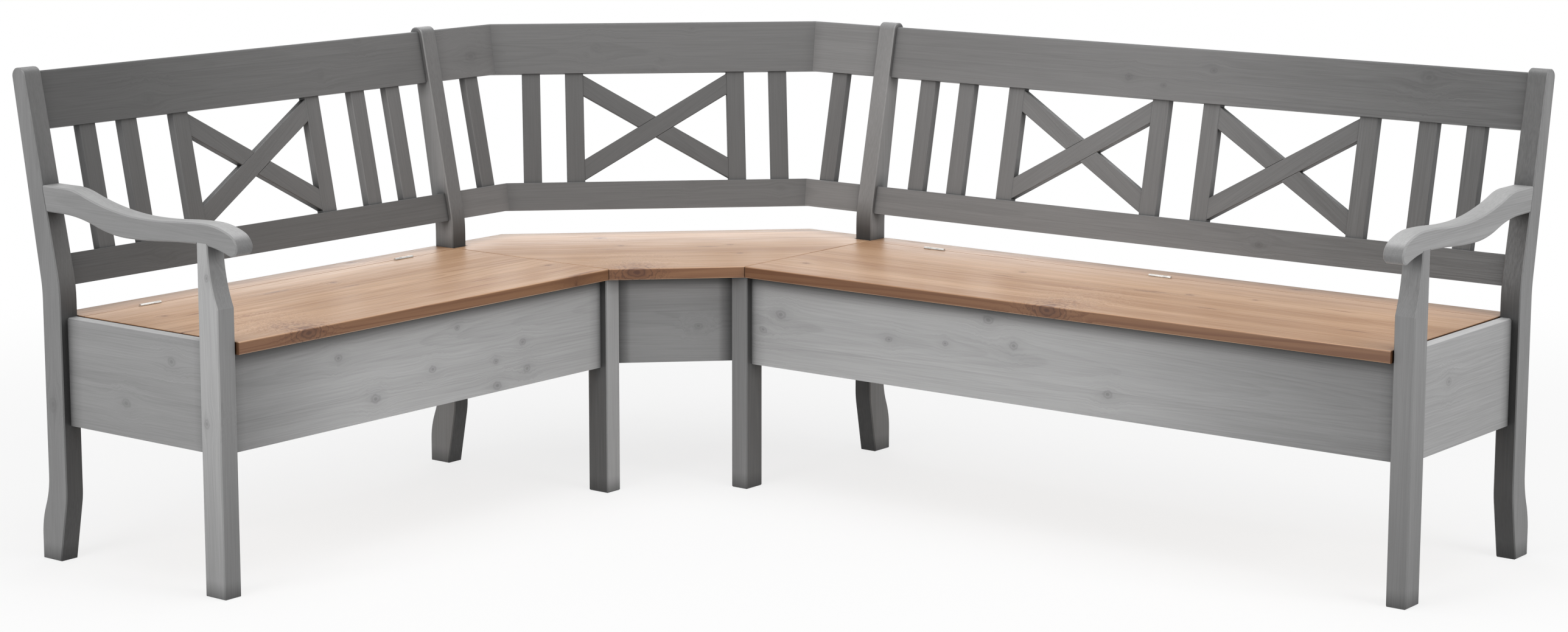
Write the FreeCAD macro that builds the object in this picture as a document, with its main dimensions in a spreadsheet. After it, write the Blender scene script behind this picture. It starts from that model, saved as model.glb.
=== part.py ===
import FreeCAD, Part
import math
import os
import re
import Sketcher

# Corner storage bench in millimetres. Two straight benches meet in a corner part with a diagonal
# back. Each straight bench is a chest whose seat is a hinged lid.
# The base frame has +Z up, its origin on the floor under the middle of the bounding box, and +X
# along the right bench, whose front faces -Y. The left bench runs towards -Y and faces +X.
os.makedirs("parts", exist_ok=True)
doc = FreeCAD.newDocument("CornerStorageBench")
sheet = doc.addObject("Spreadsheet::Sheet", "Sizes")

sizes = (
    # Overall
    ("leftLength", 1700, "left bench, from the back corner lines to its outer end"),
    ("rightLength", 2150, "right bench, from the back corner lines to its outer end"),
    ("cornerLength", 670, "corner part along each bench, up to the joint plane"),
    ("cornerCut", 470, "where the straight back ends and the diagonal back starts"),
    ("benchDepth", 470, "back of the seat to the front of the legs"),
    ("seatHeight", 460, "floor to the top of the seat"),
    ("backHeight", 913, "floor to the top of the rear posts"),
    # Posts and legs
    ("legWidth", 40, "along the bench"),
    ("legDepth", 50, "front to back"),
    ("edgeChamfer", 2, "eased edges of posts and legs"),
    ("backLean", 11.6, "lean of the front of the rear posts, degrees"),
    ("backTaper", 9.33, "lean of the rear of the rear posts, degrees"),
    ("frontBendRise", 55, "seat to where the front of a rear post starts to lean"),
    ("rearBendRise", 50, "seat to where the rear of a rear post starts to lean"),
    ("bendRadius", 250, "soft bend of a rear post"),
    ("postTopRadius", 15, "rounded top of a rear post"),
    ("footHeight", 45, "upright part at the rear of a rear foot"),
    ("footCurveTop", 160, "where the curve at the rear of a rear foot ends"),
    ("footRearKick", 22, "how far the rear of a rear foot steps back"),
    ("footFrontBend", 120, "where the front of a rear foot starts to lean back"),
    ("footFrontKick", 22, "how far the front of a rear foot steps back"),
    ("footBendRadius", 150, "soft bend at the front of a rear foot"),
    ("frontPostNeck", 28, "depth of an outer front post under its armrest"),
    ("frontPostRise", 62, "seat to where an outer front post starts to narrow"),
    ("neckStraight", 4, "straight stretch of its neck, up to the armrest"),
    # Back rails, in the leaning plane
    ("railInset", 9, "front of the posts to the front of the rails"),
    ("railThickness", 24, "thickness of the back rails"),
    ("railStart", 1.5, "bend to the lower edge of the lower rail, up the slope"),
    ("lowerRailWidth", 58, "width of the lower rail"),
    ("topRailWidth", 107, "width of the top rail"),
    ("railDrop", 7.6, "top of the rear posts to the top of the top rail"),
    ("railEdgeRadius", 4, "rounded long edges of the top rail"),
    # Back infill
    ("slatWidth", 38, "slats and stiles"),
    ("slatThickness", 18, "slats and stiles"),
    ("slatInset", 4, "front of the rails to the front of the slats"),
    ("slatHousing", 10, "how deep the slats stand in the rails"),
    ("slatChamfer", 1, "eased edges of slats, boards and rails"),
    ("crossWidth", 38, "width of a cross bar"),
    ("crossThickness", 16, "thickness of a cross bar"),
    ("crossInset", 1, "front of the stiles to the front of the cross bars"),
    ("crossClearance", 4, "end of a cross bar to the rail"),
    ("crossBay", 306, "opening between the stiles of a cross"),
    ("middleGap", 79, "gap between the two crosses of the right bench"),
    ("firstGapShare", 0.39, "stile to the first slat, as a share of the free width there"),
    ("secondGapShare", 0.27, "first slat to the second slat, as the same share"),
    ("diagonalGapShare", 0.52, "stile to slat in the diagonal back, as a share of its free width"),
    ("shortGapShare", 0.36, "diagonal back to the slat beside it, as a share of the free width"),
    # Seat
    ("seatThickness", 23, "seat boards and lids"),
    ("seatOverhang", 7, "front of the legs to the front of the seat"),
    ("seatRadius", 3, "rounded edges of the seat"),
    ("seatGap", 1.5, "gap between the corner seat and a lid"),
    ("endGap", 2, "gap between a lid and the outer posts"),
    ("postGap", 1, "corner seat to the rear posts it is cut round"),
    ("stripDepth", 64, "fixed strip behind a lid"),
    ("seamGap", 2, "gap between the strip and the lid, filled by the hinge leaves"),
    # Boards of the chests
    ("boardHeight", 180, "front boards, back boards and aprons"),
    ("boardThickness", 20, "front boards, back boards and aprons"),
    ("boardInset", 16, "face of the legs to the face of the boards"),
    ("endPanelDrop", 1, "top of the seat to the top of an end panel"),
    ("endPanelRadius", 5, "rounded top edge of an end panel"),
    ("apronInset", 35, "front of the corner legs to the face of the diagonal apron"),
    ("bottomThickness", 9, "bottom panel of a chest"),
    ("bottomGap", 1, "bottom panel to the legs and boards"),
    ("battenSize", 20, "battens under a bottom panel"),
    # Tenons and mortises
    ("tenonThickness", 10, "thickness of all tenons"),
    ("tenonLength", 15, "length of all tenons"),
    ("tenonShoulder", 10, "shoulder above and below a tenon"),
    ("fitGap", 0.1, "clearance of a mortise or housing round what it holds"),
    # Armrests: depths are from the front of the legs
    ("armRise", 242, "seat to the top of an armrest at the rear post"),
    ("armThickness", 48, "height of an armrest at the rear post"),
    ("armFlatTop", 70, "back of the seat to the end of the level stretch on top"),
    ("armFlatUnder", 60, "back of the seat to the end of the level stretch underneath"),
    ("armTurn", 0.2, "where the fall to the dip changes its bend, as a share of the fall"),
    ("armDip", 36, "fall of the top to its dip"),
    ("armDipInset", 175, "front of the legs back to the dip of the top"),
    ("armUnderDip", 28, "fall of the underside to its dip"),
    ("armUnderDipInset", 230, "front of the legs back to the dip of the underside"),
    ("armCrestRise", 6, "dip of the top to the crest of the hand rest"),
    ("armCrestInset", 30, "front of the legs back to the crest"),
    ("armHollowRise", 8, "dip of the underside to the hollow over the front post"),
    ("armHollowInset", 45, "front of the legs back to the hollow"),
    ("armShoulderFall", 13, "crest to where the nose starts to fall"),
    ("armShoulderReach", 34, "front of the legs to where the nose starts to fall"),
    ("armNoseFall", 31, "crest to the front of the nose"),
    ("armNoseReach", 51.5, "front of the legs to the front of the nose"),
    ("armLipFall", 51.7, "crest to the lip under the nose"),
    ("armLipReach", 32, "front of the legs to the lip under the nose"),
    ("armChamfer", 2.5, "eased long edges of an armrest"),
    ("armHousing", 3, "how far a front post stands in its armrest"),
    # Hinges
    ("leftHinges", 2, "hinges of the left lid"),
    ("rightHinges", 3, "hinges of the right lid"),
    ("leftHingeSpacing", 670, "between the hinges of the left lid"),
    ("rightHingeSpacing", 545, "between the hinges of the right lid"),
    ("hingeLength", 50, "length of a hinge"),
    ("hingeKnuckles", 3, "knuckles of a hinge"),
    ("hingeRise", 1, "hinge axis above the seat"),
    ("knuckleRadius", 3, "outside of a knuckle"),
    ("pinRadius", 1.5, "hinge pin"),
    ("pinFit", 0.05, "running fit of a knuckle on its pin"),
    ("knuckleGap", 0.3, "gap between two knuckles"),
    ("leafThickness", 0.8, "hinge leaf"),
    ("leafHeight", 18, "depth of a hinge leaf on the edge of a board"),
    ("hingeClearance", 0.5, "recess in the boards round the knuckles"),
)
for row, (alias, number, meaning) in enumerate(sizes, 1):
    sheet.set("A%d" % row, meaning)
    sheet.set("B%d" % row, str(number))
    sheet.setAlias("B%d" % row, alias)
doc.recompute()
aliases = {alias for alias, number, meaning in sizes}


def linked(formula):
    # A formula in the words of the sheet, written as an expression of the document.
    return re.sub(
        r"[A-Za-z]\w*",
        lambda word: "Sizes." + word.group() if word.group() in aliases else word.group(),
        formula,
    )


def size(formula):
    return float(sheet.evalExpression(formula))


# Derived places, as formulas in the words of the sheet
lidUnder = "(seatHeight - seatThickness)"
boardLow = "(seatHeight - seatThickness - boardHeight)"
cornerStart = "(cornerLength - legWidth)"
frontLegBack = "(benchDepth - legDepth)"
endPanelTop = "(seatHeight - endPanelDrop)"
frontBoardFace = "(benchDepth - boardInset)"
frontBoardBack = "(benchDepth - boardInset - boardThickness)"
backBoardFront = "(boardInset + boardThickness)"
frontBend = "(seatHeight + frontBendRise)"
rearBend = "(seatHeight + rearBendRise)"
railPlane = "(legDepth - railInset)"
railLow = "railStart"
windowLow = "(railStart + lowerRailWidth)"
railHigh = f"((backHeight - railDrop - {frontBend}) / cos(backLean))"
windowHigh = f"({railHigh} - topRailWidth)"
armTop = "(seatHeight + armRise)"
armUnder = f"({armTop} - armThickness)"
armDipTop = f"({armTop} - armDip)"
armDipUnder = f"({armUnder} - armUnderDip)"
armCrest = f"({armDipTop} + armCrestRise)"
armHollow = f"({armDipUnder} + armHollowRise)"
armShoulder = f"({armCrest} - armShoulderFall)"
armNose = f"({armCrest} - armNoseFall)"
armLip = f"({armCrest} - armLipFall)"
armDipTopDepth = "(benchDepth - armDipInset)"
armDipUnderDepth = "(benchDepth - armUnderDipInset)"
armCrestDepth = "(benchDepth - armCrestInset)"
armHollowDepth = "(benchDepth - armHollowInset)"
armShoulderDepth = "(benchDepth + armShoulderReach)"
armNoseDepth = "(benchDepth + armNoseReach)"
armLipDepth = "(benchDepth + armLipReach)"
lidBack = "(stripDepth + seamGap)"
hingeDepth = "(stripDepth + seamGap / 2)"
hingeHeight = "(seatHeight + hingeRise)"
diagonalStart = "(cornerCut / sqrt(2))"
mitreSlope = "tan(22.5)"
backReach = (
    f"(tan(backTaper) * (backHeight - postTopRadius - {rearBend})"
    " - postTopRadius / cos(backTaper) + postTopRadius)"
)
frameX = f"((rightLength - {backReach}) / 2)"
frameY = f"(({backReach} - leftLength) / 2)"


class Side:
    # The frame that the pieces of one side are drawn in: u runs along the side, v from the back
    # of the seat to the front, z up. hand is -1 where v runs against the body's own Y axis.
    def __init__(self, turn, hand, depthStart="0", length=None):
        self.turn = turn
        self.hand = hand
        self.depthStart = depthStart
        self.length = length

    def upright(self):
        # Placement of a body that stands upright
        return (
            f"placement(vector(-1 * {frameX}; -1 * {frameY}; 0); rotation(vector(0; 0; 1); {self.turn}))"
            f" * placement(vector(0; {self.hand} * {self.depthStart}; 0); rotation(vector(0; 0; 1); 0))"
        )

    def leaning(self):
        # Placement of a body whose Z runs up the slope of the back, with Y = 0 on the rails' front
        return (
            f"{self.upright()} * placement(vector(0; {self.hand} * {railPlane}; {frontBend});"
            f" rotation(vector(1; 0; 0); {self.hand} * backLean))"
        )

    def drawn(self, plane, outline):
        # An outline given in (u, v), (u, z) or (v, z), in the coordinates of the sketch. A circle
        # is a tuple of its centre and radius.
        if plane == "XZ" or self.hand > 0:
            return outline
        if isinstance(outline, tuple):
            return (f"-1 * ({outline[0]})", *outline[1:])
        turned = []
        for corner in outline:
            if plane == "XY":
                turned.append((corner[0], f"-1 * ({corner[1]})") + corner[2:])
            else:
                turned.append((f"-1 * ({corner[0]})", corner[1]) + corner[2:])
        return turned

    def alongNormal(self, plane, near, far):
        # The same span measured along the sketch plane's normal
        if plane == "XZ" and self.hand > 0:
            return f"-1 * ({far})", f"-1 * ({near})"
        return near, far


left = Side(-90, 1, length="leftLength")
right = Side(0, -1, length="rightLength")
diagonal = Side(45, -1, depthStart=diagonalStart)


def newBody(name, placement):
    body = doc.addObject("PartDesign::Body", name)
    body.Label = name
    body.AllowCompound = True
    body.setExpression("Placement", linked(placement))
    return body


def arcBetween(start, end, heading, known):
    # The arc from start to end whose heading is known at its start or at its end, as its centre,
    # its radius (positive when it turns left) and its heading at the other end
    chord = end.sub(start)
    first, last = (heading, chord) if known == "start" else (chord, heading)
    swerve = math.atan2(first.cross(last).z, first.dot(last))
    radius = chord.Length / (2 * math.sin(swerve))
    foot = start if known == "start" else end
    centre = foot.add(FreeCAD.Vector(-heading.y, heading.x, 0).multiply(radius))
    turn = math.degrees(2 * swerve) * (1 if known == "start" else -1)
    return centre, radius, FreeCAD.Rotation(FreeCAD.Vector(0, 0, 1), turn).multVec(heading)


def addArc(sketch, start, end, centre, radius):
    # Adds the arc, which a sketch always runs anticlockwise, and says which of its points is which
    angles = [math.atan2(point.y - centre.y, point.x - centre.x) for point in (start, end)]
    if radius < 0:
        angles.reverse()
    if angles[1] < angles[0]:
        angles[1] += 2 * math.pi
    circle = Part.Circle(centre, FreeCAD.Vector(0, 0, 1), abs(radius))
    edge = sketch.addGeometry(Part.ArcOfCircle(circle, angles[0], angles[1]), False)
    return (edge, 1, 2) if radius > 0 else (edge, 2, 1)


def drawCircle(sketch, across, up, radius):
    centre = FreeCAD.Vector(size(across), size(up), 0)
    circle = Part.Circle(centre, FreeCAD.Vector(0, 0, 1), size(radius))
    edge = sketch.addGeometry(circle, False)
    for constraint, formula in (
        (Sketcher.Constraint("DistanceX", -1, 1, edge, 3, centre.x), across),
        (Sketcher.Constraint("DistanceY", -1, 1, edge, 3, centre.y), up),
        (Sketcher.Constraint("Radius", edge, circle.Radius), radius),
    ):
        index = sketch.addConstraint(constraint)
        sketch.setExpression("Constraints[%d]" % index, linked(formula))


def drawOutline(sketch, outline):
    # A closed outline of corners. A corner is (across, up), reached by a line, or has a third
    # word: "arc" for an arc that leaves the edge before it smoothly, "join" for an arc that meets
    # the edge after it smoothly.
    count = len(outline)
    points = [FreeCAD.Vector(size(corner[0]), size(corner[1]), 0) for corner in outline]
    ways = [outline[(number + 1) % count][2:] for number in range(count)]
    spans = [(points[number], points[(number + 1) % count]) for number in range(count)]
    arcs = {}
    heading = None
    for number in range(count):
        start, end = spans[number]
        if ways[number] == ("arc",):
            *arcs[number], heading = arcBetween(start, end, heading, "start")
        else:
            heading = end.sub(start).normalize()
    for number in reversed(range(count)):
        start, end = spans[number]
        if ways[number] == ("join",):
            *arcs[number], heading = arcBetween(start, end, heading, "end")
        else:
            heading = end.sub(start).normalize()
    edges = []
    for number in range(count):
        start, end = spans[number]
        if number in arcs:
            edges.append(addArc(sketch, start, end, *arcs[number]))
        else:
            edges.append((sketch.addGeometry(Part.LineSegment(start, end), False), 1, 2))
    for number in range(count):
        edge, start, end = edges[number]
        lastEdge, lastStart, lastEnd = edges[number - 1]
        smooth = ways[number] == ("arc",) or ways[number - 1] == ("join",)
        joint = "Tangent" if smooth else "Coincident"
        sketch.addConstraint(Sketcher.Constraint(joint, lastEdge, lastEnd, edge, start))
        for axis, formula, place in (
            ("DistanceX", outline[number][0], points[number].x),
            ("DistanceY", outline[number][1], points[number].y),
        ):
            index = sketch.addConstraint(Sketcher.Constraint(axis, -1, 1, edge, start, place))
            if linked(formula) != formula:
                sketch.setExpression("Constraints[%d]" % index, linked(formula))


def extrude(body, side, kind, plane, outlines, near, far, tilt=None):
    # A Pad or a Pocket of outlines drawn on one of the body's origin planes, from near to far
    # across that plane. A tilt turns the sketch about the body's X axis, and the feature then
    # reaches as far to both sides.
    number = len(body.Group)
    sketch = body.newObject("Sketcher::SketchObject", "%s_sketch%d" % (body.Name, number))
    role = plane + "_Plane"
    origin = next(item for item in body.Origin.OriginFeatures if item.Role == role)
    sketch.AttachmentSupport = (origin, [""])
    sketch.MapMode = "FlatFace"
    for outline in outlines:
        if isinstance(outline, tuple):
            drawCircle(sketch, *side.drawn(plane, outline))
        else:
            drawOutline(sketch, side.drawn(plane, outline))
    low, high = side.alongNormal(plane, near, far)
    if tilt:
        offset = f"placement(vector(0; 0; 0); rotation(vector(1; 0; 0); {tilt}))"
        sketch.setExpression("AttachmentOffset", linked(offset))
    else:
        sketch.setExpression("AttachmentOffset.Base.z", linked(low if kind == "Pad" else high))
    feature = body.newObject("PartDesign::" + kind, "%s_%s%d" % (body.Name, kind.lower(), number))
    feature.Profile = sketch
    if tilt:
        feature.SideType = "Symmetric"
    feature.setExpression("Length", linked(f"({far}) - ({near})"))
    doc.recompute([sketch, feature])
    return feature


def soften(body, kind, amount, chosen):
    # A Fillet or a Chamfer on the edges of the last feature for which chosen(edge) holds
    base = body.Tip
    names = [f"Edge{number}" for number, edge in enumerate(base.Shape.Edges, 1) if chosen(edge)]
    feature = body.newObject("PartDesign::" + kind, "%s_%s" % (body.Name, kind.lower()))
    feature.Base = (base, names)
    feature.setExpression("Radius" if kind == "Fillet" else "Size", linked(amount))
    doc.recompute([feature])
    return feature


def rectangle(low, bottom, high, top):
    return [(low, bottom), (high, bottom), (high, top), (low, top)]


def grown(box):
    # A box of (near, far) formulas in u, v and z, larger by the fit gap all round
    return [(f"{near} - fitGap", f"{far} + fitGap") for near, far in box]


def boxFeature(body, side, kind, box):
    us, vs, zs = box
    return extrude(body, side, kind, "XY", [rectangle(us[0], vs[0], us[1], vs[1])], *zs)


def alongAxis(axis):
    # Straight edges parallel to one axis of the body
    def chosen(edge):
        if not isinstance(edge.Curve, Part.Line):
            return False
        spread = edge.Vertexes[-1].Point.sub(edge.Vertexes[0].Point)
        return abs(spread[axis]) > 0.999 * spread.Length
    return chosen


def atPlace(axis, place):
    # Edges that lie across one axis of the body at a place given in millimetres
    def chosen(edge):
        return all(abs(vertex.Point[axis] - place) < 0.01 for vertex in edge.Vertexes)
    return chosen


def both(*tests):
    return lambda edge: all(test(edge) for test in tests)


def either(*tests):
    return lambda edge: any(test(edge) for test in tests)


def sloped(across, up):
    # A point in the leaning plane of the back, as depth and height: across is its distance in
    # front of the rails' front face, up its distance up the slope
    return (
        f"{railPlane} + ({across}) * cos(backLean) - ({up}) * sin(backLean)",
        f"{frontBend} + ({across}) * sin(backLean) + ({up}) * cos(backLean)",
    )


def postFrontDepth(height):
    # Depth of the front face of a rear post at a height above its bend
    return f"(legDepth - ({height} - {frontBend}) * tan(backLean))"


def middled(near, far):
    # The band of a tenon in the middle of a board
    middle = f"({near} + {far}) / 2"
    return f"{middle} - tenonThickness / 2", f"{middle} + tenonThickness / 2"


kept = []


def keep(piece):
    kept.append(piece)
    return piece


# Boards with tenons. Each is described once, and its posts are mortised from the same description.
class Board:
    def __init__(self, us, vs, zs, ends):
        # ends names the faces that carry a tenon: "u-", "u+", "v-" or "v+"
        self.us = us
        self.vs = vs
        self.zs = zs
        self.ends = ends

    def tenon(self, end):
        heights = (f"({self.zs[0]} + tenonShoulder)", f"({self.zs[1]} - tenonShoulder)")
        if end[0] == "u":
            spans = [self.us, middled(*self.vs), heights]
        else:
            spans = [middled(*self.us), self.vs, heights]
        axis = "uv".index(end[0])
        near, far = spans[axis]
        if end[1] == "+":
            spans[axis] = (far, f"{far} + tenonLength")
        else:
            spans[axis] = (f"{near} - tenonLength", near)
        return spans

    def build(self, name, side, softened):
        body = newBody(name, side.upright())
        boxFeature(body, side, "Pad", (self.us, self.vs, self.zs))
        for kind, amount, chosen in softened:
            soften(body, kind, amount, chosen)
        for end in self.ends:
            boxFeature(body, side, "Pad", self.tenon(end))
        return keep(body)


def mortise(body, side, board, end):
    boxFeature(body, side, "Pocket", grown(board.tenon(end)))


def railSection(low, high):
    # Section of a back rail as (front to back, up the slope)
    return rectangle("-1 * railThickness", low, "0", high)


def railTenonSection(low, high):
    near, far = middled("-1 * railThickness", "0")
    return rectangle(near, f"{low} + tenonShoulder", far, f"{high} - tenonShoulder")


def railMortises(body, side, near, far):
    # The two back rails' mortises in a rear post, from near to far along the bench
    for low, high in ((railLow, windowLow), (windowHigh, railHigh)):
        front, back = middled("-1 * railThickness", "0")
        corners = (
            (f"{front} - fitGap", f"{low} + tenonShoulder - fitGap"),
            (f"{back} + fitGap", f"{low} + tenonShoulder - fitGap"),
            (f"{back} + fitGap", f"{high} - tenonShoulder + fitGap"),
            (f"{front} - fitGap", f"{high} - tenonShoulder + fitGap"),
        )
        outline = [sloped(across, up) for across, up in corners]
        extrude(body, side, "Pocket", "YZ", [outline], near, far)


def backBoard(side):
    inner = "cornerLength"
    outer = f"({side.length} - legWidth)"
    depths = ("boardInset", backBoardFront)
    return Board((inner, outer), depths, (boardLow, lidUnder), ("u-", "u+"))


def frontBoard(side):
    inner = "cornerLength"
    outer = f"({side.length} - legWidth)"
    depths = (frontBoardBack, frontBoardFace)
    return Board((inner, outer), depths, (boardLow, lidUnder), ("u-", "u+"))


def endPanel(side):
    outer = f"({side.length} - boardInset)"
    inner = f"({side.length} - boardInset - boardThickness)"
    return Board((inner, outer), ("legDepth", frontLegBack), (boardLow, endPanelTop), ("v-", "v+"))


def partition():
    middle = "(cornerLength - legWidth / 2)"
    us = (f"({middle} - boardThickness / 2)", f"({middle} + boardThickness / 2)")
    return Board(us, ("legDepth", frontLegBack), (boardLow, lidUnder), ("v-", "v+"))


def cornerBackBoard():
    # Drawn from its tenon only: the mitred end has its own outline
    return Board(("cornerCut", cornerStart), ("boardInset", backBoardFront), (boardLow, lidUnder), ("u+",))


def armTenon(side):
    outer = side.length
    height = (f"{armUnder} + tenonShoulder", f"{armTop} - tenonShoulder")
    us = middled(f"({outer} - legWidth)", outer)
    return [us, ("0", "legDepth"), height]


def rearPost(name, side, inner, outer):
    # A rear post with its kicked foot and leaning, tapering back
    body = newBody(name, side.upright())
    footRear = "-1 * footRearKick"
    middle = "(footHeight + footCurveTop) / 2"
    outline = [
        (footRear, "0"),
        ("legDepth - footFrontKick", "0"),
        ("legDepth", "footFrontBend"),
        ("legDepth", frontBend),
        (postFrontDepth("backHeight"), "backHeight"),
        (f"({rearBend} - backHeight) * tan(backTaper)", "backHeight"),
        ("0", rearBend),
        ("0", "footCurveTop"),
        ("-1 * footRearKick / 2", middle, "arc"),
        (footRear, "footHeight", "arc"),
    ]
    extrude(body, side, "Pad", "YZ", [outline], inner, outer)
    bends = either(atPlace(2, size(frontBend)), atPlace(2, size(rearBend)))
    soften(body, "Fillet", "bendRadius", both(alongAxis(0), bends))
    footBend = both(alongAxis(0), atPlace(2, size("footFrontBend")))
    soften(body, "Fillet", "footBendRadius", footBend)
    soften(body, "Fillet", "postTopRadius", both(alongAxis(0), atPlace(2, size("backHeight"))))
    faces = either(atPlace(0, size(inner)), atPlace(0, size(outer)))
    soften(body, "Chamfer", "edgeChamfer", faces)
    return body


def outerRearPost(name, side):
    inner = f"({side.length} - legWidth)"
    body = rearPost(name, side, inner, side.length)
    railMortises(body, side, inner, f"{inner} + tenonLength + fitGap")
    mortise(body, side, backBoard(side), "u+")
    mortise(body, side, endPanel(side), "v-")
    boxFeature(body, side, "Pocket", grown(armTenon(side)))
    return keep(body)


def cornerRearPost(name, side):
    body = rearPost(name, side, cornerStart, "cornerLength")
    railMortises(body, side, "cornerLength - tenonLength - fitGap", "cornerLength")
    railMortises(body, side, cornerStart, f"{cornerStart} + tenonLength + fitGap")
    mortise(body, side, backBoard(side), "u-")
    mortise(body, side, partition(), "v-")
    mortise(body, side, cornerBackBoard(), "u+")
    return keep(body)


def cornerFrontLeg(name, side):
    body = newBody(name, side.upright())
    box = ((cornerStart, "cornerLength"), (frontLegBack, "benchDepth"), ("0", lidUnder))
    boxFeature(body, side, "Pad", box)
    top = size(lidUnder)
    soften(body, "Chamfer", "edgeChamfer", lambda edge: not atPlace(2, top)(edge))
    mortise(body, side, frontBoard(side), "u-")
    mortise(body, side, partition(), "v+")
    return keep(body)


def outerFrontPost(name, side):
    # Full depth up to the seat, then narrowed by one arc to a slim neck under the armrest
    inner = f"({side.length} - legWidth)"
    body = newBody(name, side.upright())
    neckFront = f"({frontLegBack} + frontPostNeck)"
    top = f"({armHollow} + armHousing)"
    outline = [
        (frontLegBack, "0"),
        ("benchDepth", "0"),
        ("benchDepth", "seatHeight + frontPostRise"),
        (neckFront, f"{armHollow} - neckStraight", "join"),
        (neckFront, top),
        (frontLegBack, top),
    ]
    extrude(body, side, "Pad", "YZ", [outline], inner, side.length)
    faces = either(atPlace(0, size(inner)), atPlace(0, size(side.length)))
    tops = atPlace(2, size(top))
    soften(body, "Chamfer", "edgeChamfer", lambda edge: faces(edge) and not tops(edge))
    mortise(body, side, frontBoard(side), "u+")
    mortise(body, side, endPanel(side), "v+")
    return keep(body)


def armrest(name, side):
    # A level seat at the rear post, a long dip, and a hand rest that falls over in a round nose
    inner = f"({side.length} - legWidth)"
    body = newBody(name, side.upright())
    falling = (
        f"armFlatTop + armTurn * ({armDipTopDepth} - armFlatTop)",
        f"{armTop} + armTurn * ({armDipTop} - {armTop})",
    )
    outline = [
        (postFrontDepth(armUnder), armUnder),
        (postFrontDepth(armTop), armTop),
        ("armFlatTop", armTop),
        (*falling, "arc"),
        (armDipTopDepth, armDipTop, "arc"),
        (f"({armDipTopDepth} + {armCrestDepth}) / 2", f"({armDipTop} + {armCrest}) / 2", "arc"),
        (armCrestDepth, armCrest, "arc"),
        (armShoulderDepth, armShoulder, "arc"),
        (armNoseDepth, armNose, "arc"),
        (armLipDepth, armLip, "arc"),
        (armHollowDepth, armHollow, "join"),
        (
            f"({armDipUnderDepth} + {armHollowDepth}) / 2",
            f"({armDipUnder} + {armHollow}) / 2",
            "join",
        ),
        (armDipUnderDepth, armDipUnder, "join"),
        (f"(armFlatUnder + {armDipUnderDepth}) / 2", f"({armUnder} + {armDipUnder}) / 2", "join"),
        ("armFlatUnder", armUnder, "join"),
    ]
    extrude(body, side, "Pad", "YZ", [outline], inner, side.length)
    rear = size("legDepth") / 2
    faces = either(atPlace(0, size(inner)), atPlace(0, size(side.length)))

    def long(edge):
        return max(abs(vertex.Point.y) for vertex in edge.Vertexes) > rear

    soften(body, "Chamfer", "armChamfer", both(faces, long))
    boxFeature(body, side, "Pad", armTenon(side))
    neck = [
        (f"{inner} - fitGap", f"{side.length} + fitGap"),
        (f"{frontLegBack} - fitGap", f"{frontLegBack} + frontPostNeck + fitGap"),
        (armLip, f"{armHollow} + armHousing"),
    ]
    boxFeature(body, side, "Pocket", neck)
    return keep(body)


def straightRail(name, side, low, high, edges):
    # A back rail of a straight bench between two rear posts, housing its slats
    inner = "cornerLength"
    outer = f"({side.length} - legWidth)"
    body = newBody(name, side.leaning())
    extrude(body, side, "Pad", "YZ", [railSection(low, high)], inner, outer)
    soften(body, edges[0], edges[1], both(alongAxis(0), atPlace(2, size(edges[2]))))
    tenons = railTenonSection(low, high)
    extrude(body, side, "Pad", "YZ", [tenons], f"{inner} - tenonLength", f"{outer} + tenonLength")
    return body


def mitre(body, side, outlines):
    # Cuts a corner rail by upright planes. The outlines are (along, in front of the rails' front
    # face at the bend), drawn level whatever the lean.
    extrude(
        body, side, "Pocket", "XY", outlines, "0", "2 * backHeight", tilt=f"{-side.hand} * backLean"
    )


def cornerRail(name, side, low, high, edges):
    # The short rail between a corner rear post and the diagonal back
    body = newBody(name, side.leaning())
    extrude(body, side, "Pad", "YZ", [railSection(low, high)], frontLegBack, cornerStart)
    soften(body, edges[0], edges[1], both(alongAxis(0), atPlace(2, size(edges[2]))))
    tenons = railTenonSection(low, high)
    extrude(body, side, "Pad", "YZ", [tenons], frontLegBack, f"{cornerStart} + tenonLength")
    outline = [
        ("0", "-1 * benchDepth"),
        (f"cornerCut + {mitreSlope} * ({railPlane} - benchDepth)", "-1 * benchDepth"),
        (f"cornerCut + {mitreSlope} * ({railPlane} + benchDepth)", "benchDepth"),
        ("0", "benchDepth"),
    ]
    mitre(body, side, [outline])
    return body


def diagonalRail(name, low, high, edges):
    body = newBody(name, diagonal.leaning())
    extrude(body, diagonal, "Pad", "YZ", [railSection(low, high)], "-1 * cornerCut", "cornerCut")
    soften(body, edges[0], edges[1], both(alongAxis(0), atPlace(2, size(edges[2]))))
    rearEnd = f"({diagonalStart} - {mitreSlope} * ({railPlane} - benchDepth))"
    frontEnd = f"({diagonalStart} - {mitreSlope} * ({railPlane} + benchDepth))"
    outlines = []
    for sign in ("", "-1 * "):
        outlines.append(
            [
                (f"{sign}{rearEnd}", "-1 * benchDepth"),
                (f"{sign}2 * cornerLength", "-1 * benchDepth"),
                (f"{sign}2 * cornerLength", "benchDepth"),
                (f"{sign}{frontEnd}", "benchDepth"),
            ]
        )
    mitre(body, diagonal, outlines)
    return body


def infillDepths():
    return "-1 * slatInset - slatThickness", "-1 * slatInset"


def houseInfill(body, side, low, high, starts):
    # The blind housings of the slats in a rail, from low to high up the slope
    near, far = infillDepths()
    outlines = [
        rectangle(
            f"{start} - fitGap", f"{near} - fitGap", f"{start} + slatWidth + fitGap", f"{far} + fitGap"
        )
        for start in starts
    ]
    extrude(body, side, "Pocket", "XY", outlines, low, high)


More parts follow.
